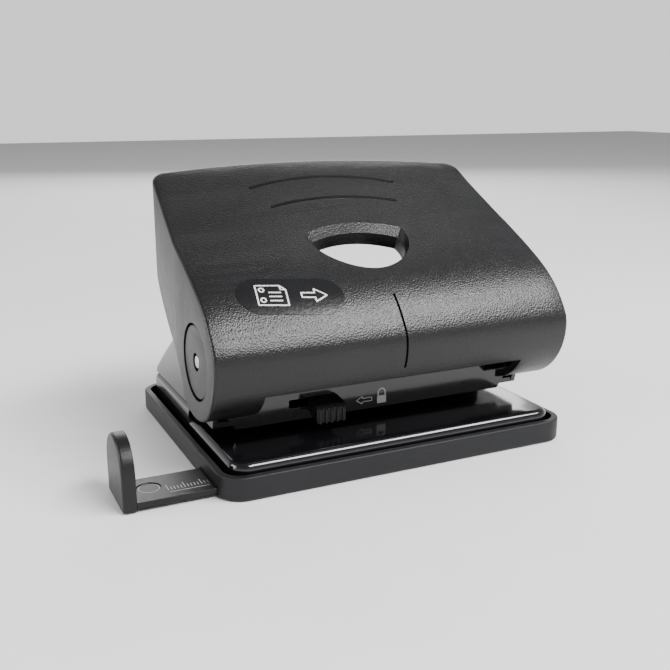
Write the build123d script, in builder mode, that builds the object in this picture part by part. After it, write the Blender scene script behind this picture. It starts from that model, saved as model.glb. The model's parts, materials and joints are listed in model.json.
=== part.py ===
"""Two-hole desk punch, in millimetres.

+X runs along the punch to the right, +Y goes from the paper slot to the back, +Z is up.
The origin is the centre of the chip tray's underside, which stands on the desk.
The handle is modelled raised, the lock open and the paper guide part way out.
"""

import os
from math import cos, radians, sin

from build123d import *

os.makedirs("parts", exist_ok=True)

# ---------------------------------------------------------------- driving dimensions
# Chip tray
TRAY_WIDTH, TRAY_DEPTH, TRAY_HEIGHT = 122.0, 98.5, 7.5
TRAY_CORNER, TRAY_WALL, TRAY_FLOOR = 8.0, 2.1, 1.0

# Paper guide, a flat bar with an upright stop at its outer end
GUIDE_FRONT, GUIDE_BACK = -42.6, -26.2
GUIDE_BOTTOM, GUIDE_THICK = 1.3, 1.8
STOP_OUTER, STOP_THICK = -88.3, 4.0
STOP_FRONT, STOP_BACK, STOP_TOP = -42.7, -22.7, 20.8
GUIDE_INNER_END = 22.0

# Steel base plate: a low paper table in front of a raised rear platform
PLATE_HALF, PLATE_FRONT, PLATE_BACK = 57.2, -46.3, 45.0
TABLE_TOP, PLATFORM_TOP, SKIRT_BOTTOM = 10.4, 14.5, 3.9
PAPER_STOP_Y, PLATE_GAUGE, PLATE_CORNER, PLATE_EDGE = -2.0, 1.4, 6.0, 2.4

# Punches: two holes 80 mm apart, 12 mm in from the paper's edge
HOLE_SPACING, HOLE_MARGIN, PUNCH_RADIUS = 80.0, 12.0, 3.0
PUNCH_Y = PAPER_STOP_Y - HOLE_MARGIN
PUNCH_TIP, PUNCH_TOP, GUIDE_FIT = 14.7, 45.0, 0.06

# Steel punch frame
FRAME_GAUGE, EAR_OUTER, WALL_FRONT = 1.6, 56.3, -25.0
LIP_BOTTOM, WALL_TOP = 13.0, 28.0
PIVOT_Y, PIVOT_Z = -27.0, 37.0
UPPER_GUIDE_Z, UPPER_GUIDE_FRONT, UPPER_GUIDE_BACK = 30.0, -21.0, -7.0

# Handle, whose top profile runs from the back edge down to the nose
NOSE_Y, NOSE_Z, NOSE_RADIUS = -24.5, 39.4, 21.1
TOP_PROFILE = [
    (29.6, 90.9), (24.0, 88.1), (15.0, 82.7), (5.0, 77.1), (-5.0, 71.6), (-15.0, 66.6),
    (-25.0, 61.4), (-32.0, 57.2), (-38.0, 52.4), (-42.6, 46.6),
]
HANDLE_BACK, HANDLE_SIDE_BACK, HANDLE_WALL = 29.6, 24.8, 2.4
NOSE_HALF, BACK_HALF, HANDLE_CORNER, HANDLE_EDGE = 61.5, 59.2, 5.5, 1.0
NOTCH_HALF, NOTCH_TOP = 45.4, 28.4
PRESS_ANGLE = 26.0
SURFACE_SLOPE = 26.8

# Press bar, screwed up into the handle's bosses
BAR_Y, BAR_Z, BAR_ROUND, BAR_HALF, BAR_TOP_Z = -15.5, 48.0, 2.7, 50.0, 52.0
BOSSES = (-47.0, -25.0, 25.0, 47.0)

# Pivot
CAP_RADIUS, CAP_GAP, PIVOT_RADIUS, CAP_FACE = 11.2, 0.6, 2.0, 61.2

# Lock slider
LOCK_LEFT, LOCK_RIGHT, LOCK_FRONT, LOCK_TRAVEL = -24.4, -14.4, -33.0, 8.0
LOCK_BOTTOM, LOCK_TOP = 13.4, 20.0


def keep(name, shape):
    """Labels a finished piece and writes its STEP file."""
    shape.label = name
    export_step(shape, f"parts/{name}.step")


def both_sides(name, shape):
    """Writes a right-hand piece and its mirror image on the left."""
    keep(f"{name}_right", shape)
    keep(f"{name}_left", mirror(shape, about=Plane.YZ))


# ---------------------------------------------------------------- chip tray
INNER_WIDTH, INNER_DEPTH = TRAY_WIDTH - 2 * TRAY_WALL, TRAY_DEPTH - 2 * TRAY_WALL
BAR_TOP = GUIDE_BOTTOM + GUIDE_THICK
RAIL_GAP, RAIL_WIDTH, RAIL_TOP = 0.3, 1.2, 3.6

with BuildPart() as tray:
    with BuildSketch():
        RectangleRounded(TRAY_WIDTH, TRAY_DEPTH, TRAY_CORNER)
    extrude(amount=TRAY_HEIGHT)
    fillet(tray.edges().group_by(Axis.Z)[0], 1.0)
    fillet(tray.edges().group_by(Axis.Z)[-1], 0.5)
    with BuildSketch(Plane.XY.offset(TRAY_FLOOR)):
        RectangleRounded(INNER_WIDTH, INNER_DEPTH, TRAY_CORNER - TRAY_WALL)
    extrude(amount=TRAY_HEIGHT, mode=Mode.SUBTRACT)
    # Rails on the floor keep the guide bar straight.
    for y in (GUIDE_FRONT - RAIL_GAP - RAIL_WIDTH / 2, GUIDE_BACK + RAIL_GAP + RAIL_WIDTH / 2):
        with BuildSketch(Plane.XY.offset(TRAY_FLOOR)):
            with Locations((0, y)):
                Rectangle(INNER_WIDTH + 1, RAIL_WIDTH)
        extrude(amount=RAIL_TOP - TRAY_FLOOR)
    # Mouth in the left wall for the guide bar.
    with BuildSketch(Plane.XY.offset(TRAY_FLOOR)):
        with Locations((-TRAY_WIDTH / 2, (GUIDE_FRONT + GUIDE_BACK) / 2)):
            Rectangle(4 * TRAY_WALL, GUIDE_BACK - GUIDE_FRONT + 2 * RAIL_GAP)
    extrude(amount=BAR_TOP + 0.3 - TRAY_FLOOR, mode=Mode.SUBTRACT)
keep("chip_tray", tray.part)

# ---------------------------------------------------------------- paper guide
STOP_MIDDLE = (STOP_FRONT + STOP_BACK) / 2
STOP_HALF = (STOP_BACK - STOP_FRONT) / 2

with BuildPart() as guide:
    with BuildSketch(Plane.XY.offset(GUIDE_BOTTOM)):
        with Locations(((STOP_OUTER + GUIDE_INNER_END) / 2, (GUIDE_FRONT + GUIDE_BACK) / 2)):
            Rectangle(GUIDE_INNER_END - STOP_OUTER, GUIDE_BACK - GUIDE_FRONT)
    extrude(amount=GUIDE_THICK)
    fillet(guide.edges().filter_by(Axis.Z).group_by(Axis.X)[-1], 3.0)
    with BuildSketch(Plane.YZ.offset(STOP_OUTER)) as stop_outline:
        with BuildLine():
            foot = GUIDE_BOTTOM - 0.8
            shoulder = STOP_TOP - STOP_HALF
            Polyline((STOP_FRONT, shoulder), (STOP_FRONT, foot), (STOP_BACK, foot), (STOP_BACK, shoulder))
            ThreePointArc((STOP_BACK, shoulder), (STOP_MIDDLE, STOP_TOP), (STOP_FRONT, shoulder))
        make_face()
    extrude(amount=STOP_THICK)
    fillet(guide.faces().sort_by(Axis.X)[0].edges().filter_by(GeomType.CIRCLE), 1.0)
    # Shallow thumb mark on the bar, beside the stop.
    with BuildSketch(Plane.XY.offset(BAR_TOP)):
        with Locations((STOP_OUTER + STOP_THICK + 5.5, STOP_MIDDLE - 1)):
            Circle(3.6)
    extrude(amount=-0.3, mode=Mode.SUBTRACT)
keep("paper_guide", guide.part)


# ---------------------------------------------------------------- base plate
def plate_form(inset):
    """The base plate's outer form, or with an inset the space under it."""
    half, front, back = PLATE_HALF - inset, PLATE_FRONT + inset, PLATE_BACK - inset
    corner, edge = PLATE_CORNER - inset, PLATE_EDGE - inset
    bottom = SKIRT_BOTTOM if inset == 0 else SKIRT_BOTTOM - 1
    with BuildPart() as form:
        with BuildSketch(Plane.XY.offset(bottom)):
            with Locations((0, (front + back) / 2)):
                RectangleRounded(2 * half, back - front, corner)
        extrude(amount=PLATFORM_TOP - inset - bottom)
        with BuildSketch(Plane.XY.offset(TABLE_TOP - inset)):
            with Locations((0, PAPER_STOP_Y + inset - TRAY_DEPTH / 2)):
                Rectangle(TRAY_WIDTH, TRAY_DEPTH)
        extrude(amount=TRAY_HEIGHT, mode=Mode.SUBTRACT)
        table = form.faces().filter_by(Axis.Z).sort_by(SortBy.AREA)
        tops = [f for f in table if f.center().Z > bottom + 1]
        rim = [e for f in tops for e in f.edges() if abs(e.center().Y - PAPER_STOP_Y - inset) > 0.01]
        fillet(rim, edge)
    return form.part


with BuildPart() as base_plate:
    add(plate_form(0))
    add(plate_form(PLATE_GAUGE), mode=Mode.SUBTRACT)
    with Locations(Plane.XY.offset(PLATFORM_TOP)):
        with Locations((-HOLE_SPACING / 2, PUNCH_Y), (HOLE_SPACING / 2, PUNCH_Y)):
            Hole(PUNCH_RADIUS + GUIDE_FIT)
        with Locations((-48, 14), (48, 14), (-48, 32), (48, 32)):
            Hole(1.6)
keep("base_plate", base_plate.part)

# ---------------------------------------------------------------- punch frame
EAR_INNER = EAR_OUTER - FRAME_GAUGE
WEB_TOP = PLATFORM_TOP + FRAME_GAUGE
FRAME_REAR = 41.4
EAR_BOSS = 8.0
RIVETS = ((-48, 14), (48, 14), (-48, 32), (48, 32))
ROOF = [(FRAME_REAR, 17.2), (31.0, 24.6), (21.0, 31.0), (8.0, 38.6)]

with BuildPart() as frame:
    # Floor web, whose front half is the punches' lower guide.
    with BuildSketch(Plane.XY.offset(PLATFORM_TOP)):
        with Locations((0, (WALL_FRONT + FRAME_REAR) / 2)):
            Rectangle(2 * EAR_OUTER, FRAME_REAR - WALL_FRONT)
        with Locations((0, 20)):
            Rectangle(80, 30, mode=Mode.SUBTRACT)
    extrude(amount=FRAME_GAUGE)
    # Sloping roof and low back wall.
    with BuildSketch(Plane.YZ.offset(-EAR_OUTER)):
        with BuildLine():
            Polyline(
                (FRAME_REAR, PLATFORM_TOP), *ROOF, (7.2, 37.2), (20.2, 29.6), (30.2, 23.2),
                (FRAME_REAR - FRAME_GAUGE, 16.4), (FRAME_REAR - FRAME_GAUGE, PLATFORM_TOP), close=True,
            )
        make_face()
    extrude(amount=2 * EAR_OUTER)
    # Side ears, which carry the pivot pins.
    with BuildSketch(Plane.YZ.offset(EAR_INNER)):
        with BuildLine():
            Polyline(
                (PIVOT_Y - EAR_BOSS, PIVOT_Z), (-27.5, 23.0), (WALL_FRONT, PLATFORM_TOP),
                (FRAME_REAR, PLATFORM_TOP), *ROOF, (-6.0, 43.4), (PIVOT_Y, PIVOT_Z + EAR_BOSS),
            )
            ThreePointArc(
                (PIVOT_Y, PIVOT_Z + EAR_BOSS),
                (PIVOT_Y - EAR_BOSS * cos(radians(45)), PIVOT_Z + EAR_BOSS * sin(radians(45))),
                (PIVOT_Y - EAR_BOSS, PIVOT_Z),
            )
        make_face()
        with Locations((PIVOT_Y, PIVOT_Z)):
            Circle(PIVOT_RADIUS, mode=Mode.SUBTRACT)
    extrude(amount=FRAME_GAUGE)
    mirror(about=Plane.YZ)
    # The roof rolls over into the ears.
    rolled = frame.edges().filter_by(lambda e: abs(abs(e.center().X) - EAR_OUTER) < 0.01)
    fillet(rolled.filter_by(lambda e: e.center().Y > 9 and e.center().Z > 17.5), 1.4)
    # Front wall, which narrows towards its lower lip.
    with BuildSketch(Plane.XZ.offset(-WALL_FRONT)):
        with BuildLine():
            Polyline(
                (-48.8, LIP_BOTTOM), (48.8, LIP_BOTTOM), (52.6, LIP_BOTTOM + 5.7),
                (52.6, WALL_TOP), (-52.6, WALL_TOP), (-52.6, LIP_BOTTOM + 5.7), close=True,
            )
        make_face()
    extrude(amount=-FRAME_GAUGE)
    # Punch guides and rivet holes through the floor web.
    with Locations(Plane.XY.offset(WEB_TOP)):
        with Locations((-HOLE_SPACING / 2, PUNCH_Y), (HOLE_SPACING / 2, PUNCH_Y)):
            Hole(PUNCH_RADIUS + GUIDE_FIT, depth=FRAME_GAUGE + 1)
        with Locations(*RIVETS):
            Hole(1.6, depth=FRAME_GAUGE + 1)
    # Slot for the lock slider's shank.
    with BuildSketch(Plane.XZ.offset(-WALL_FRONT + 1)):
        with Locations((-23.35, 18.5)):
            RectangleRounded(15.1, 2.8, 0.5)
    extrude(amount=-FRAME_GAUGE - 2, mode=Mode.SUBTRACT)
keep("punch_frame", frame.part)

# ---------------------------------------------------------------- rivets that hold the frame to the plate
with BuildPart() as rivets:
    with BuildSketch(Plane.XY.offset(PLATFORM_TOP - PLATE_GAUGE - 1.0)):
        with Locations(*RIVETS):
            Circle(2.6)
    extrude(amount=1.0)
    with BuildSketch(Plane.XY.offset(PLATFORM_TOP - PLATE_GAUGE)):
        with Locations(*RIVETS):
            Circle(1.6)
    extrude(amount=PLATE_GAUGE + FRAME_GAUGE)
    with BuildSketch(Plane.XY.offset(WEB_TOP)):
        with Locations(*RIVETS):
            Circle(2.8)
    extrude(amount=1.2)
    fillet(rivets.edges().group_by(Axis.Z)[-1], 0.8)
keep("frame_rivets", rivets.part)

# ---------------------------------------------------------------- upper guide, a bridge between the ears
with BuildPart() as upper_guide:
    guide_depth = UPPER_GUIDE_BACK - UPPER_GUIDE_FRONT
    guide_middle = (UPPER_GUIDE_BACK + UPPER_GUIDE_FRONT) / 2
    with BuildSketch(Plane.XY.offset(UPPER_GUIDE_Z)):
        with Locations((0, guide_middle)):
            Rectangle(2 * EAR_INNER, guide_depth)
        # Relief for the handle's lock hook.
        with Locations((-30.0, UPPER_GUIDE_FRONT + 4.5)):
            Rectangle(8.0, 11.0, mode=Mode.SUBTRACT)
        with Locations((-HOLE_SPACING / 2, PUNCH_Y), (HOLE_SPACING / 2, PUNCH_Y)):
            Circle(PUNCH_RADIUS + GUIDE_FIT, mode=Mode.SUBTRACT)
    extrude(amount=FRAME_GAUGE)
    # Tabs bent down against the ears.
    with BuildSketch(Plane.XY.offset(UPPER_GUIDE_Z)):
        for side in (-1, 1):
            with Locations((side * (EAR_INNER - FRAME_GAUGE / 2), guide_middle)):
                Rectangle(FRAME_GAUGE, guide_depth)
    extrude(amount=-7.0)
keep("upper_guide", upper_guide.part)

# ---------------------------------------------------------------- pivot pins, clips and caps
PIVOT_PLANE = Plane(origin=(0, PIVOT_Y, PIVOT_Z), x_dir=(0, 1, 0), z_dir=(1, 0, 0))
PIN_END = CAP_FACE - 0.2

with BuildPart() as pivot_pin:
    with BuildSketch(PIVOT_PLANE.offset(EAR_INNER - 1.6)):
        Circle(3.6)
    extrude(amount=1.6)
    with BuildSketch(PIVOT_PLANE.offset(EAR_INNER)):
        Circle(PIVOT_RADIUS)
    extrude(amount=PIN_END - EAR_INNER)
    fillet(pivot_pin.edges().sort_by(Axis.X)[-1], 0.4)
both_sides("pivot_pin", pivot_pin.part)

with BuildPart() as pivot_washer:
    with BuildSketch(PIVOT_PLANE.offset(EAR_OUTER)):
        Circle(4.4)
        Circle(PIVOT_RADIUS + 0.05, mode=Mode.SUBTRACT)
    extrude(amount=0.4)
both_sides("pivot_washer", pivot_washer.part)

with BuildPart() as pivot_cap:
    with BuildSketch(PIVOT_PLANE.offset(EAR_OUTER + 0.6)):
        Circle(CAP_RADIUS - 1.4)
    extrude(amount=CAP_FACE - EAR_OUTER - 0.6)
    with BuildSketch(PIVOT_PLANE.offset(CAP_FACE - 1.3)):
        Circle(CAP_RADIUS)
    extrude(amount=1.3)
    fillet(pivot_cap.edges().group_by(Axis.X)[-1], 0.4)
    with BuildSketch(PIVOT_PLANE.offset(EAR_OUTER)):
        Circle(PIVOT_RADIUS + 0.05)
    extrude(amount=8, mode=Mode.SUBTRACT)
    with BuildSketch(PIVOT_PLANE.offset(CAP_FACE - 2.0)):
        Circle(2.8)
    extrude(amount=4, mode=Mode.SUBTRACT)
both_sides("pivot_cap", pivot_cap.part)


# ---------------------------------------------------------------- punches, retaining clips and springs
CLIP_BOTTOM, CLIP_THICK = 43.0, 0.9
SPRING_BOTTOM = UPPER_GUIDE_Z + FRAME_GAUGE
WIRE_RADIUS, COIL_RADIUS, COIL_TURNS = 0.4, 4.1, 5

with BuildPart() as punch:
    with BuildSketch(Plane.XY.offset(PUNCH_TIP)):
        with Locations((HOLE_SPACING / 2, PUNCH_Y)):
            Circle(PUNCH_RADIUS)
    extrude(amount=PUNCH_TOP - PUNCH_TIP)
    fillet(punch.edges().group_by(Axis.Z)[-1], 0.6)
    # Hollow-ground cutting end.
    with BuildSketch(Plane.XZ.offset(-PUNCH_Y)):
        with Locations((HOLE_SPACING / 2, PUNCH_TIP - 8.4)):
            Circle(9.2)
    extrude(amount=PUNCH_RADIUS + 1, both=True, mode=Mode.SUBTRACT)
    # Groove for the retaining clip.
    with BuildSketch(Plane.XY.offset(CLIP_BOTTOM)):
        with Locations((HOLE_SPACING / 2, PUNCH_Y)):
            Circle(PUNCH_RADIUS + 1)
            Circle(PUNCH_RADIUS - 0.6, mode=Mode.SUBTRACT)
    extrude(amount=CLIP_THICK, mode=Mode.SUBTRACT)
both_sides("punch_pin", punch.part)

with BuildPart() as clip:
    with BuildSketch(Plane.XY.offset(CLIP_BOTTOM)):
        with Locations((HOLE_SPACING / 2, PUNCH_Y)):
            Circle(5.4)
            Circle(PUNCH_RADIUS - 0.6, mode=Mode.SUBTRACT)
        with Locations((HOLE_SPACING / 2, PUNCH_Y - 4)):
            Rectangle(3.4, 6, mode=Mode.SUBTRACT)
    extrude(amount=CLIP_THICK)
both_sides("retaining_clip", clip.part)

coil_height = CLIP_BOTTOM - SPRING_BOTTOM - 2 * WIRE_RADIUS - 0.1
with BuildPart() as spring:
    with BuildLine() as coil:
        Helix(
            pitch=coil_height / COIL_TURNS, height=coil_height, radius=COIL_RADIUS,
            center=(HOLE_SPACING / 2, PUNCH_Y, SPRING_BOTTOM + WIRE_RADIUS + 0.05),
        )
    with BuildSketch(Plane(origin=coil.line @ 0, z_dir=coil.line % 0)):
        Circle(WIRE_RADIUS)
    sweep(is_frenet=True)
both_sides("punch_spring", spring.part)

# ---------------------------------------------------------------- lock slider
SHANK_LEFT, SHANK_RIGHT = -22.5, -16.5
WALL_BACK = WALL_FRONT + FRAME_GAUGE
TONGUE_Y, TONGUE_BOTTOM, TONGUE_TOP = -19.4, 20.2, 22.0
RIDGES = 5

with BuildPart() as lock:
    # Ribbed thumb piece in front of the wall.
    with BuildSketch(Plane.YZ.offset(LOCK_LEFT)):
        with BuildLine():
            Polyline(
                (WALL_FRONT - 0.3, LOCK_TOP), (LOCK_FRONT + 1.4, LOCK_TOP - 0.8), (LOCK_FRONT, LOCK_TOP - 2.6),
                (LOCK_FRONT, LOCK_BOTTOM), (WALL_FRONT - 0.3, LOCK_BOTTOM + 2.4), close=True,
            )
        make_face()
    extrude(amount=LOCK_RIGHT - LOCK_LEFT)
    pitch = (LOCK_RIGHT - LOCK_LEFT) / RIDGES
    with BuildSketch(Plane.XY.offset(LOCK_BOTTOM - 1)):
        with Locations(*[(LOCK_LEFT + pitch * i, LOCK_FRONT) for i in range(RIDGES + 1)]):
            Circle(0.62)
    extrude(amount=LOCK_TOP - LOCK_BOTTOM + 2, mode=Mode.SUBTRACT)
    # Shank through the slot, then a tongue that reaches over the hook.
    with BuildSketch(Plane.YZ.offset(SHANK_LEFT)):
        with BuildLine():
            Polyline(
                (WALL_FRONT - 1, 17.4), (WALL_BACK + 1.8, 17.4), (WALL_BACK + 1.8, TONGUE_BOTTOM),
                (TONGUE_Y, TONGUE_BOTTOM), (TONGUE_Y, TONGUE_TOP), (WALL_BACK + 0.3, TONGUE_TOP),
                (WALL_BACK + 0.3, 19.6), (WALL_FRONT - 1, 19.6), close=True,
            )
        make_face()
    extrude(amount=SHANK_RIGHT - SHANK_LEFT)
keep("lock_slider", lock.part)

# ---------------------------------------------------------------- handle
ARC_START, UNDER_ANGLE, HOLLOW_ANGLE = 186.0, -55.0, -102.0
UNDERSIDE = [(-6.0, 33.4), (4.0, 39.6), (14.0, 46.4), (22.4, 55.3), (24.4, 60.5)]


def on_nose(radius, degrees):
    """A point on a circle round the nose's axis, as (y, z)."""
    return (NOSE_Y + radius * cos(radians(degrees)), NOSE_Z + radius * sin(radians(degrees)))


def raised(y, z):
    """Where a point given for the pressed handle lies when the handle is raised."""
    turn, dy, dz = radians(PRESS_ANGLE), y - PIVOT_Y, z - PIVOT_Z
    return (PIVOT_Y + dy * cos(turn) - dz * sin(turn), PIVOT_Z + dy * sin(turn) + dz * cos(turn))


def top_points(inset):
    """The top profile's points from back to nose, moved inwards by the inset."""
    points = [*TOP_PROFILE, on_nose(NOSE_RADIUS, ARC_START)]
    curve = Spline(*points, tangents=[(-1, -0.5), (0.1, -1)])
    moved = []
    for i in range(13):
        spot, way = curve @ (i / 12), curve % (i / 12)
        moved.append((spot.X - inset * way.Y, spot.Y + inset * way.X))
    return moved


def handle_form(inset):
    """The handle's outer form, or with an inset its hollow, which runs out below."""
    points = top_points(inset)
    radius, last = NOSE_RADIUS - inset, UNDER_ANGLE if inset < 0.1 else HOLLOW_ANGLE
    start, tip = points[-1], on_nose(radius, last)
    with BuildPart() as form:
        with BuildSketch(Plane.YZ):
            with BuildLine():
                Spline(*points, tangents=[(-1, -0.5), (0.1, -1)])
                ThreePointArc(start, on_nose(radius, (ARC_START + last + 360) / 2), tip)
                if inset < 0.1:
                    Spline(tip, *UNDERSIDE)
                    Polyline(UNDERSIDE[-1], (27.0, 64.2), (points[0][0], 64.2), points[0])
                else:
                    Polyline(tip, (tip[0], 5), (points[0][0], 5), points[0])
            make_face()
        extrude(amount=65, both=True)
        # In plan the sides draw in and the back edge bows out between rounded corners.
        back, side = HANDLE_BACK - inset, HANDLE_SIDE_BACK - inset
        nose_half, back_half = NOSE_HALF - inset, BACK_HALF - inset
        with BuildSketch(Plane.XY) as plan:
            with BuildLine():
                Polyline((back_half, side), (nose_half, -8), (nose_half, -60))
                Line((nose_half, -60), (-nose_half, -60))
                Polyline((-nose_half, -60), (-nose_half, -8), (-back_half, side))
                ThreePointArc((-back_half, side), (0, back), (back_half, side))
            make_face()
            fillet(plan.vertices().filter_by(lambda v: v.Y > 10), HANDLE_CORNER - inset / 2)
        extrude(amount=100, mode=Mode.INTERSECT)
    return form.part


WINDOW_PLANE = Plane(
    origin=(0, -14.0, 67.1), x_dir=(1, 0, 0),
    z_dir=(0, -sin(radians(SURFACE_SLOPE)), cos(radians(SURFACE_SLOPE))),
)


def window_loft(side_in, back_in, front_in, low, high, low_in=0.0):
    """A D-shaped plug on the top surface; low_in draws its lower end in."""
    with BuildPart() as plug:
        for level, more in ((high, 0.0), (low, low_in)):
            with BuildSketch(WINDOW_PLANE.offset(level)):
                with BuildLine():
                    half, shrink = 18.5 - side_in - more, back_in + more * 1.35
                    ends, middle, front = 7.2 - shrink, 11.6 - shrink, -14.6 + front_in + more * 0.2
                    ThreePointArc((-half, ends), (0, middle), (half, ends))
                    Spline(
                        (half, ends), (half * 0.93, ends - 8.5), (half * 0.6, front + 4.2), (0, front),
                        (-half * 0.6, front + 4.2), (-half * 0.93, ends - 8.5), (-half, ends),
                    )
                make_face()
        loft()
    return plug.part


outer_form, hollow_form, groove_floor = handle_form(0.0), handle_form(HANDLE_WALL), handle_form(1.0)

with BuildPart() as groove_plan:
    with BuildSketch(Plane.XY):
        SlotArc(ThreePointArc((-27.4, 15.4), (0, 19.7), (27.4, 15.4)), 1.5)
        SlotArc(ThreePointArc((-23.3, 5.6), (0, 9.1), (23.3, 5.6)), 1.5)
    extrude(amount=100)

with BuildPart() as handle:
    add(outer_form)
    ends = [e for e in handle.edges() if abs(e.center().X) > BACK_HALF - 4 and e.center().Z > 20]
    fillet([e for e in ends if e.center().Y < 27 and e.center().Z > 30], HANDLE_EDGE)
    add(hollow_form, mode=Mode.SUBTRACT)
    # Rim that hangs round the window.
    add(window_loft(-1.4, -1.4, -1.4, -7.0, -0.5) & outer_form)
    # Rings round the pivot caps.
    with BuildSketch(PIVOT_PLANE.offset(57.4)):
        Circle(CAP_RADIUS + 2.2)
    extrude(amount=2.2)
    with BuildSketch(PIVOT_PLANE.offset(-57.4)):
        Circle(CAP_RADIUS + 2.2)
    extrude(amount=-2.2)
    # Bosses for the press bar's screws.
    with BuildSketch(Plane.XY.offset(BAR_TOP_Z)):
        with Locations(*[(x, BAR_Y) for x in BOSSES]):
            Circle(3.6)
    extrude(until=Until.NEXT)
    # Hook that the lock's tongue holds down.
    with BuildSketch(Plane.YZ.offset(-33.0)):
        with BuildLine():
            Polyline(
                raised(-21.5, 17.6), raised(-16.2, 17.6), raised(-16.2, 56.4), raised(-18.4, 56.4),
                raised(-18.4, 19.6), raised(-21.5, 19.6), close=True,
            )
        make_face()
    extrude(amount=6.0)
    # Window with a scooped edge, wider at the back.
    add(window_loft(2.6, 3.6, 0.5, -12.0, 6.0), mode=Mode.SUBTRACT)
    add(window_loft(-0.9, -0.9, -0.1, -2.4, 1.6, low_in=3.2), mode=Mode.SUBTRACT)
    # Two arched grooves and a centre line on the nose.
    add((outer_form - groove_floor) & groove_plan.part, mode=Mode.SUBTRACT)
    with BuildSketch(Plane.XZ.offset(34)):
        with Locations((0, 43.0)):
            SlotOverall(22.0, 0.8, rotation=90)
    nose_line = extrude(amount=16, mode=Mode.PRIVATE)
    add((outer_form - groove_floor) & nose_line, mode=Mode.SUBTRACT)
    # Stepped holes for the pivot caps.
    for side in (-1, 1):
        with BuildSketch(PIVOT_PLANE.offset(side * 56.6)):
            Circle(CAP_RADIUS - 1.4 + 0.08)
        extrude(amount=side * 8, mode=Mode.SUBTRACT)
        with BuildSketch(PIVOT_PLANE.offset(side * (CAP_FACE - 1.7))):
            Circle(CAP_RADIUS + CAP_GAP)
        extrude(amount=side * 8, mode=Mode.SUBTRACT)
    # The nose is cut away over the lock and the paper slot.
    with BuildSketch(Plane.XY.offset(5)):
        with Locations((0, -45)):
            Rectangle(2 * NOTCH_HALF, 36)
    extrude(amount=NOTCH_TOP - 5, mode=Mode.SUBTRACT)
    # Screw holes in the bosses.
    with BuildSketch(Plane.XY.offset(BAR_TOP_Z)):
        with Locations(*[(x, BAR_Y) for x in BOSSES]):
            Circle(1.2)
    extrude(amount=7.0, mode=Mode.SUBTRACT)
keep("handle", handle.part)

# ---------------------------------------------------------------- press bar and its screws
with BuildPart() as press_bar:
    with BuildSketch(Plane.YZ.offset(-BAR_HALF)):
        with Locations((BAR_Y, BAR_Z)):
            Circle(BAR_ROUND)
        with Locations((BAR_Y, (BAR_Z + BAR_TOP_Z) / 2)):
            Rectangle(2 * BAR_ROUND, BAR_TOP_Z - BAR_Z)
    extrude(amount=2 * BAR_HALF)
    with BuildSketch(Plane.XY.offset(BAR_Z - 5)):
        with Locations(*[(x, BAR_Y) for x in BOSSES]):
            Circle(2.3)
    extrude(amount=6.0, mode=Mode.SUBTRACT)
    with BuildSketch(Plane.XY.offset(BAR_Z)):
        with Locations(*[(x, BAR_Y) for x in BOSSES]):
            Circle(1.3)
    extrude(amount=6.0, mode=Mode.SUBTRACT)
keep("press_bar", press_bar.part)

with BuildPart() as bar_screws:
    with BuildSketch(Plane.XY.offset(BAR_Z - 0.8)):
        with Locations(*[(x, BAR_Y) for x in BOSSES]):
            Circle(2.2)
    extrude(amount=1.8)
    with BuildSketch(Plane.XY.offset(BAR_Z + 1.0)):
        with Locations(*[(x, BAR_Y) for x in BOSSES]):
            Circle(1.2)
    extrude(amount=9.4)
    # Cross slots in the heads.
    with BuildSketch(Plane.XY.offset(BAR_Z - 0.8)):
        with Locations(*[(x, BAR_Y) for x in BOSSES]):
            Rectangle(2.6, 0.6)
            Rectangle(0.6, 2.6)
    extrude(amount=0.8, mode=Mode.SUBTRACT)
keep("bar_screws", bar_screws.part)

# ---------------------------------------------------------------- oval label on the nose
LABEL_X, LABEL_Y, LABEL_Z, LABEL_LONG, LABEL_WIDE = -33.3, -33.6, 55.6, 33.5, 14.0
LABEL_LEAN, LABEL_TURN, LABEL_THICK = 36.0, -7.0, 0.15

with BuildPart() as label:
    label_plane = Plane(
        origin=(LABEL_X, LABEL_Y, LABEL_Z), x_dir=(1, 0, 0),
        z_dir=(0, -sin(radians(LABEL_LEAN)), cos(radians(LABEL_LEAN))),
    )
    with BuildSketch(label_plane.offset(-8)):
        SlotOverall(LABEL_LONG, LABEL_WIDE, rotation=LABEL_TURN)
    extrude(amount=16)
    add(handle_form(-LABEL_THICK), mode=Mode.INTERSECT)
    add(handle_form(-0.02), mode=Mode.SUBTRACT)
keep("label", label.part)
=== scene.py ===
"""Looks of the two-hole desk punch: finishes, springs, printed marks, light and camera.

Lengths written as millimetres are turned into metres by MM. The row frame has +X along
the punch, +Y from the paper slot to the back and +Z up.
"""

import json
from math import cos, pi, radians, sin

import bmesh
import bpy
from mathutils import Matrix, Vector
from mathutils.bvhtree import BVHTree


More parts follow.
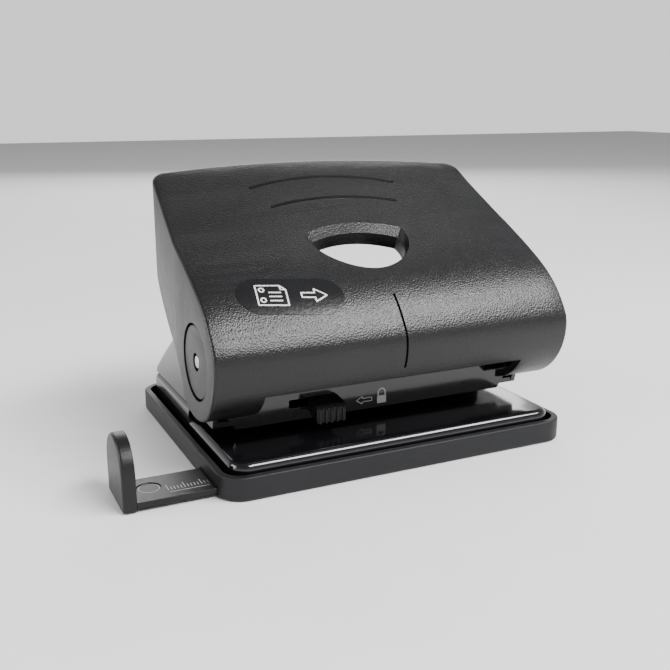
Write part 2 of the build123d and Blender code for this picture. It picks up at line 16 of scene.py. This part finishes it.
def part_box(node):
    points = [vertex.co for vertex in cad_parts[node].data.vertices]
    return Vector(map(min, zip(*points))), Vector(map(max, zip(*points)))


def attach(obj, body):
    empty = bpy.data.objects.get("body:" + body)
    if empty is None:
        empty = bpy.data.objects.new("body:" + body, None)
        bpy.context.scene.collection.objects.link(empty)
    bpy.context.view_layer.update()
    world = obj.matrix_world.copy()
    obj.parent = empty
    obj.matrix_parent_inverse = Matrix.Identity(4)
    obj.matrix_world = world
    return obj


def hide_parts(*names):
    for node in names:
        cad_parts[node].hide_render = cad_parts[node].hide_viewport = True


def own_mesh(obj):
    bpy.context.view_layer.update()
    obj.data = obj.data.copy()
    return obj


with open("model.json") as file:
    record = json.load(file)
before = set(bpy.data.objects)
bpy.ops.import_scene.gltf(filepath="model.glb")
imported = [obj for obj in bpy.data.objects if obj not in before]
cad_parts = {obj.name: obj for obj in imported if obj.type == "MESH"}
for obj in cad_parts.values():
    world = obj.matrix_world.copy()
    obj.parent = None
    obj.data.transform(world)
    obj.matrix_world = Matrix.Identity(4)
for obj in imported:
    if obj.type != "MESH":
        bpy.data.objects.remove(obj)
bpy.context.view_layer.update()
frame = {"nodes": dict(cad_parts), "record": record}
MM = 0.001

# The label's middle in millimetres, its lean from level and its turn in its own plane.
LABEL_MIDDLE, LABEL_LEAN, LABEL_TURN = (-33.3, -33.6, 55.6), radians(36), radians(-7)
COIL_RADIUS, WIRE_RADIUS, COIL_TURNS, COIL_STEPS = 4.1 * MM, 0.4 * MM, 6.5, 260
PRINT_LIFT, PRINT_STEP, DROP_FROM = 0.04, 0.35, 6
FLOOR_HALF = 2.2


# ---------------------------------------------------------------- finishes
class Finish:
    """A procedural material whose colour, roughness and relief vary over the surface."""

    def __init__(self, name, colour, rough, metallic=0.0, coat=0.0, specular=0.5, uneven=0.14):
        self.material = bpy.data.materials.new(name)
        self.material.use_nodes = True
        self.tree = self.material.node_tree
        self.shader = self.tree.nodes["Principled BSDF"]
        self.shader.inputs["Metallic"].default_value = metallic
        self.shader.inputs["Coat Weight"].default_value = coat
        self.shader.inputs["Coat Roughness"].default_value = 0.08
        self.shader.inputs["Specular IOR Level"].default_value = specular
        self.place = self.node("ShaderNodeTexCoord").outputs["Object"]
        tint = self.node("ShaderNodeValToRGB")
        dark, light = tint.color_ramp.elements
        dark.position, light.position = 0.3, 0.7
        dark.color = (*[(1 - uneven) * c for c in colour], 1)
        light.color = (*[(1 + uneven) * c for c in colour], 1)
        self.join(self.noise(60, 4), tint.inputs["Fac"])
        self.join(tint.outputs["Color"], self.shader.inputs["Base Color"])
        spread = self.node("ShaderNodeMapRange")
        spread.inputs["To Min"].default_value = max(0.02, rough - 0.05)
        spread.inputs["To Max"].default_value = rough + 0.06
        self.join(self.noise(240, 3), spread.inputs["Value"])
        self.join(spread.outputs["Result"], self.shader.inputs["Roughness"])
        self.relief = None

    def node(self, kind):
        return self.tree.nodes.new(kind)

    def join(self, a, b):
        self.tree.links.new(a, b)

    def noise(self, scale, detail=2, stretch=(1, 1, 1)):
        mapping = self.node("ShaderNodeMapping")
        mapping.inputs["Scale"].default_value = stretch
        self.join(self.place, mapping.inputs["Vector"])
        texture = self.node("ShaderNodeTexNoise")
        texture.inputs["Scale"].default_value = scale
        texture.inputs["Detail"].default_value = detail
        self.join(mapping.outputs["Vector"], texture.inputs["Vector"])
        return texture.outputs["Fac"]

    def cells(self, scale):
        texture = self.node("ShaderNodeTexVoronoi")
        texture.feature = "SMOOTH_F1"
        texture.inputs["Scale"].default_value = scale
        self.join(self.place, texture.inputs["Vector"])
        return texture.outputs["Distance"]

    def bump(self, height, depth, strength=1.0):
        """Adds a layer of relief; depth is in metres."""
        layer = self.node("ShaderNodeBump")
        layer.inputs["Distance"].default_value = depth
        layer.inputs["Strength"].default_value = strength
        self.join(height, layer.inputs["Height"])
        if self.relief:
            self.join(self.relief, layer.inputs["Normal"])
        self.relief = layer.outputs["Normal"]
        self.join(self.relief, self.shader.inputs["Normal"])
        return self


def handle_finish():
    """Grained plastic: a leather grain of small cells, with a finer noise and a broad shallow ripple
    laid over it, the same all over.
    """
    f = Finish("grained_black_plastic", (0.0060, 0.0061, 0.0068), 0.34, specular=0.4)
    f.bump(f.cells(2100), 0.00017, 0.6)
    f.bump(f.noise(3200, 3), 0.00007, 0.5)
    f.bump(f.noise(45, 1), 0.0002, 0.2)
    return f.material


def plain_plastic(name, colour, rough, grain):
    f = Finish(name, colour, rough, specular=0.3)
    f.bump(f.noise(grain, 4), 0.00012, 0.6)
    f.bump(f.noise(30, 1), 0.0001, 0.2)
    return f.material


def gloss_paint():
    f = Finish("gloss_black_paint", (0.004, 0.004, 0.0048), 0.12, coat=0.3, specular=0.5)
    f.bump(f.noise(260, 2), 0.00001, 0.35)
    return f.material


def bare_steel(name, colour, rough, stretch):
    f = Finish(name, colour, rough, metallic=1.0)
    f.bump(f.noise(900, 4, stretch), 0.00001, 0.5)
    return f.material


def print_ink(name, colour):
    f = Finish(name, colour, 0.5)
    f.bump(f.noise(1500, 2), 0.00001, 0.3)
    return f.material


FINISHES = {
    "handle_plastic": handle_finish(),
    "guide_plastic": plain_plastic("satin_black_plastic", (0.0075, 0.0077, 0.0086), 0.36, 2600),
    "tray_plastic": plain_plastic("matt_black_plastic", (0.009, 0.0092, 0.0105), 0.48, 2000),
    "cap_plastic": plain_plastic("dark_grey_plastic", (0.016, 0.0162, 0.018), 0.34, 2600),
    "gloss_steel": gloss_paint(),
    "plain_steel": bare_steel("zinc_plated_steel", (0.46, 0.46, 0.47), 0.34, (0.05, 1, 1)),
    "bright_steel": bare_steel("nickel_plated_steel", (0.64, 0.63, 0.62), 0.22, (1, 1, 0.2)),
    "label_film": plain_plastic("label_film", (0.0065, 0.0066, 0.0074), 0.28, 900),
}
INK_WHITE = print_ink("white_ink", (0.62, 0.62, 0.63))
INK_GREY = print_ink("grey_ink", (0.36, 0.36, 0.37))

BODY_OF = {n: body for body, names in frame["record"]["behaviour"]["bodies"].items() for n in names}
SLOT_OF = {s["node"]: s["material_slot"] for s in frame["record"]["subparts"]}


# ---------------------------------------------------------------- meshes
def add_piece(name, mesh, body, finish):
    piece = bpy.data.objects.new(name, mesh)
    bpy.context.collection.objects.link(piece)
    mesh.materials.clear()
    mesh.materials.append(finish)
    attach(piece, body)
    return piece


def refined(node, round_mm):
    """A copy of a CAD node with welded vertices, rounded sharp edges and smooth shading."""
    source = frame["nodes"][node]
    mesh = source.data.copy()
    work = bmesh.new()
    work.from_mesh(mesh)
    bmesh.ops.remove_doubles(work, verts=work.verts, dist=2e-6)
    bmesh.ops.dissolve_limit(
        work, angle_limit=radians(0.4), verts=work.verts, edges=work.edges, use_dissolve_boundaries=False
    )
    work.to_mesh(mesh)
    work.free()
    if mesh.attributes.get("custom_normal"):
        mesh.attributes.remove(mesh.attributes["custom_normal"])
    mesh.shade_smooth()
    mesh.set_sharp_from_angle(angle=radians(32))
    piece = add_piece(f"{node}_skin", mesh, BODY_OF[node], FINISHES[SLOT_OF[node]])
    if round_mm:
        bevel = piece.modifiers.new("edge", "BEVEL")
        bevel.width = round_mm * MM
        bevel.segments = 2
        bevel.limit_method = "ANGLE"
        bevel.angle_limit = radians(35)
        bevel.harden_normals = True
    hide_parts(node)
    return piece


ROUNDING = {
    "chip_tray": 0.2, "paper_guide": 0.25, "base_plate": 0.12, "punch_frame": 0.15, "lock_slider": 0.12,
    "handle": 0.2, "press_bar": 0.2, "upper_guide": 0.1,
}
SPRINGS = ("punch_spring_left", "punch_spring_right")
for node in frame["nodes"]:
    if node not in SPRINGS:
        refined(node, ROUNDING.get(node, 0))


def tube(name, path, radius, sides, body, finish):
    """A round wire along a path of points, with closed ends."""
    work = bmesh.new()
    rings = []
    for i, point in enumerate(path):
        way = (path[min(i + 1, len(path) - 1)] - path[max(i - 1, 0)]).normalized()
        side = way.cross(Vector((0, 0, 1))).normalized()
        up = side.cross(way)
        turn = [2 * pi * k / sides for k in range(sides)]
        rings.append([work.verts.new(point + (side * cos(t) + up * sin(t)) * radius) for t in turn])
    for a, b in zip(rings, rings[1:]):
        for k in range(sides):
            j = (k + 1) % sides
            work.faces.new((a[k], a[j], b[j], b[k]))
    work.faces.new(rings[0])
    work.faces.new(list(reversed(rings[-1])))
    bmesh.ops.recalc_face_normals(work, faces=work.faces)
    mesh = bpy.data.meshes.new(name)
    work.to_mesh(mesh)
    work.free()
    mesh.shade_smooth()
    mesh.set_sharp_from_angle(angle=radians(40))
    return add_piece(name, mesh, body, finish)


def coil(side):
    """A return spring with closed end turns."""
    node, joint = f"punch_spring_{side}", f"{side}_punch_slide"
    low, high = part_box(node)
    middle, closed = (low + high) / 2, 0.9
    bottom, top = low.z + WIRE_RADIUS, high.z - WIRE_RADIUS
    end_rise = WIRE_RADIUS * 1.9
    path = []
    for i in range(COIL_STEPS + 1):
        turned = COIL_TURNS * i / COIL_STEPS
        around = 2 * pi * turned
        rise = min(max((turned - closed) / (COIL_TURNS - 2 * closed), 0.0), 1.0)
        lift = end_rise * (min(turned, closed) + max(turned - (COIL_TURNS - closed), 0)) / closed
        height = bottom + lift + (top - bottom - 2 * end_rise) * rise
        path.append(middle.xy.to_3d() + Vector((cos(around), sin(around), 0)) * COIL_RADIUS)
        path[-1].z = height
    steel = FINISHES["bright_steel"]
    piece = tube(f"coil_{side}", path, WIRE_RADIUS, 10, BODY_OF[node], steel)
    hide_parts(node)
    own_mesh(piece)


for side in ("left", "right"):
    coil(side)


# ---------------------------------------------------------------- printed marks
def tree_of(node):
    """A search tree over a CAD node's surface."""
    mesh = frame["nodes"][node].data
    return BVHTree.FromPolygons([v.co for v in mesh.vertices], [p.vertices for p in mesh.polygons])


def prints(name, node, origin, across, out, strokes, finish, body):
    """Thin printed strokes laid on a surface.

    A stroke is its width and its points (u, v), all in millimetres, with u along across and
    v along out x across.
    """
    origin, across, out = Vector(origin) * MM, Vector(across).normalized(), Vector(out).normalized()
    up, surface, work = out.cross(across), tree_of(node), bmesh.new()

    def drop(u, v):
        flat = origin + (across * u + up * v) * MM
        hit = surface.ray_cast(flat + out * DROP_FROM * MM, -out)[0]
        return (hit or flat) + out * PRINT_LIFT * MM

    for width, points in strokes:
        fine = []
        for (u0, v0), (u1, v1) in zip(points, points[1:]):
            n = max(1, int(max(abs(u1 - u0), abs(v1 - v0)) / PRINT_STEP))
            fine += [(u0 + (u1 - u0) * i / n, v0 + (v1 - v0) * i / n) for i in range(n)]
        closed = points[0] == points[-1]
        if not closed:
            fine.append(points[-1])
        rails = []
        for i, (u, v) in enumerate(fine):
            before = fine[i - 1] if i or closed else fine[0]
            after = fine[(i + 1) % len(fine)] if i + 1 < len(fine) or closed else fine[-1]
            way = Vector((after[0] - before[0], after[1] - before[1])).normalized()
            du, dv = -way.y * width / 2, way.x * width / 2
            rails.append((work.verts.new(drop(u + du, v + dv)), work.verts.new(drop(u - du, v - dv))))
        pairs = list(zip(rails, rails[1:])) + ([(rails[-1], rails[0])] if closed else [])
        for (a, b), (c, d) in pairs:
            face = work.faces.new((a, b, d, c))
            face.normal_update()
            if face.normal.dot(out) < 0:
                face.normal_flip()
    mesh = bpy.data.meshes.new(name)
    work.to_mesh(mesh)
    work.free()
    return add_piece(name, mesh, body, finish)


def ring(u, v, radius, start=0, stop=360, count=28):
    """Points round a circle or an arc; a full circle ends on its first point."""
    turn = [radians(start + (stop - start) * i / count) for i in range(count + 1)]
    points = [(round(u + radius * cos(t), 4), round(v + radius * sin(t), 4)) for t in turn]
    return points[:-1] + [points[0]] if stop - start == 360 else points


def label_marks():
    """A plain sheet of paper with two punched holes, and a dashed fold line."""
    sheet = [(-4.6, -3.9), (4.6, -3.9), (4.6, 2.2), (3.0, 3.9), (-4.6, 3.9), (-4.6, -3.9)]
    shapes = [sheet, [(4.6, 2.2), (3.0, 2.2), (3.0, 3.9)], ring(-2.9, 2.0, 0.75), ring(-2.9, -2.0, 0.75)]
    dashes = [[(-0.9, v), (3.0, v)] for v in (-2.2, -0.6, 1.0)]
    moved = [[(u - 6.0, v) for u, v in s] for s in shapes + dashes]
    upper = [(3.2, 0.9), (7.4, 0.9), (7.4, 2.5), (11.2, 0.0)]
    arrow = [*upper, *[(u, -v) for u, v in reversed(upper[:-1])], upper[0]]
    along = Vector((0, cos(LABEL_LEAN), sin(LABEL_LEAN)))
    across = Vector((cos(LABEL_TURN), 0, 0)) + along * sin(LABEL_TURN)
    prints(
        "label_pictogram", "label", LABEL_MIDDLE, across, (0, -sin(LABEL_LEAN), cos(LABEL_LEAN)),
        [(0.5, points) for points in [*moved, arrow]], INK_WHITE, "lever",
    )


def lock_marks():
    """An outlined arrow and a padlock beside the lock slider."""
    upper = [(-7.0, 0), (-4.8, 1.3), (-4.8, 0.6), (-1.3, 0.6)]
    arrow = [*upper, *[(u, -v) for u, v in reversed(upper)]]
    body = [(0.7, -0.6), (4.1, -0.6)]
    shackle = [(1.1, 0.8), (1.1, 1.8), *ring(2.4, 1.8, 1.3, 180, 0, 10)[1:], (3.7, 0.8)]
    prints(
        "lock_marks", "punch_frame", (0, -25, 16.2), (1, 0, 0), (0, -1, 0),
        [(0.28, arrow), (2.6, body), (0.5, shackle)], INK_GREY, "punch",
    )


def guide_marks():
    """Scale ticks over a line, and a ring, on the guide bar."""
    ticks = [(0.22, [(u, -3.5), (u, -1.4 if k % 5 else 0.2)]) for k, u in enumerate(range(-74, -61))]
    line = (0.25, [(-74, -4.9), (-62, -4.9)])
    prints(
        "guide_marks", "paper_guide", (0, -34.4, 3.1), (1, 0, 0), (0, 0, 1),
        [*ticks, (0.25, ring(-78.8, 0.7, 3.0)), line], INK_GREY, "guide",
    )


label_marks()
lock_marks()
guide_marks()

# ---------------------------------------------------------------- floor, light and camera
floor_mesh = bpy.data.meshes.new("floor")
corners = [(x * FLOOR_HALF, y * FLOOR_HALF, 0) for x, y in ((-1, -1), (1, -1), (1, 1), (-1, 1))]
floor_mesh.from_pydata(corners, [], [(0, 1, 2, 3)])
floor = bpy.data.objects.new("floor", floor_mesh)
bpy.context.collection.objects.link(floor)
pale = Finish("pale_floor", (0.8, 0.8, 0.8), 0.75, specular=0.1, uneven=0.01)
floor_mesh.materials.append(pale.material)

world = bpy.data.worlds.new("studio")
bpy.context.scene.world = world
world.use_nodes = True
world.node_tree.nodes["Background"].inputs["Color"].default_value = (1.0, 1.0, 1.0, 1)
sky = world.node_tree
height = sky.nodes.new("ShaderNodeSeparateXYZ")
fade = sky.nodes.new("ShaderNodeMapRange")
fade.inputs["From Min"].default_value = 0.12
fade.inputs["From Max"].default_value = 0.5
fade.inputs["To Min"].default_value = 1.1
fade.inputs["To Max"].default_value = 0.3
sky.links.new(sky.nodes.new("ShaderNodeTexCoord").outputs["Generated"], height.inputs["Vector"])
sky.links.new(height.outputs["Z"], fade.inputs["Value"])
sky.links.new(fade.outputs["Result"], sky.nodes["Background"].inputs["Strength"])


def softbox(name, place, aim, size, power):
    light = bpy.data.lights.new(name, "AREA")
    light.shape = "RECTANGLE"
    light.size, light.size_y = size
    light.energy = power
    lamp = bpy.data.objects.new(name, light)
    lamp.location = place
    lamp.rotation_euler = (Vector(aim) - Vector(place)).to_track_quat("-Z", "Y").to_euler()
    bpy.context.collection.objects.link(lamp)


softbox("overhead", (0.33, -0.46, 0.72), (0, 0, 0.04), (0.75, 0.24), 17)
softbox("left_panel", (-0.8, 0.1, 0.3), (0, 0, 0.04), (0.5, 0.5), 6)
softbox("back_panel", (0.3, 0.9, 0.5), (0, 0, 0.03), (0.9, 0.5), 6)

camera_data = bpy.data.cameras.new("photo_view")
camera_data.sensor_width = 36.0
camera_data.lens = 47.95
camera_data.clip_start = 0.01
camera = bpy.data.objects.new("photo_view", camera_data)
camera.location = Vector((-132.7, -272.8, 112.4)) * MM
aim = Vector((-2.867, 0, 32.18)) * MM
camera.rotation_euler = (aim - camera.location).to_track_quat("-Z", "Y").to_euler()
bpy.context.collection.objects.link(camera)
bpy.context.scene.camera = camera
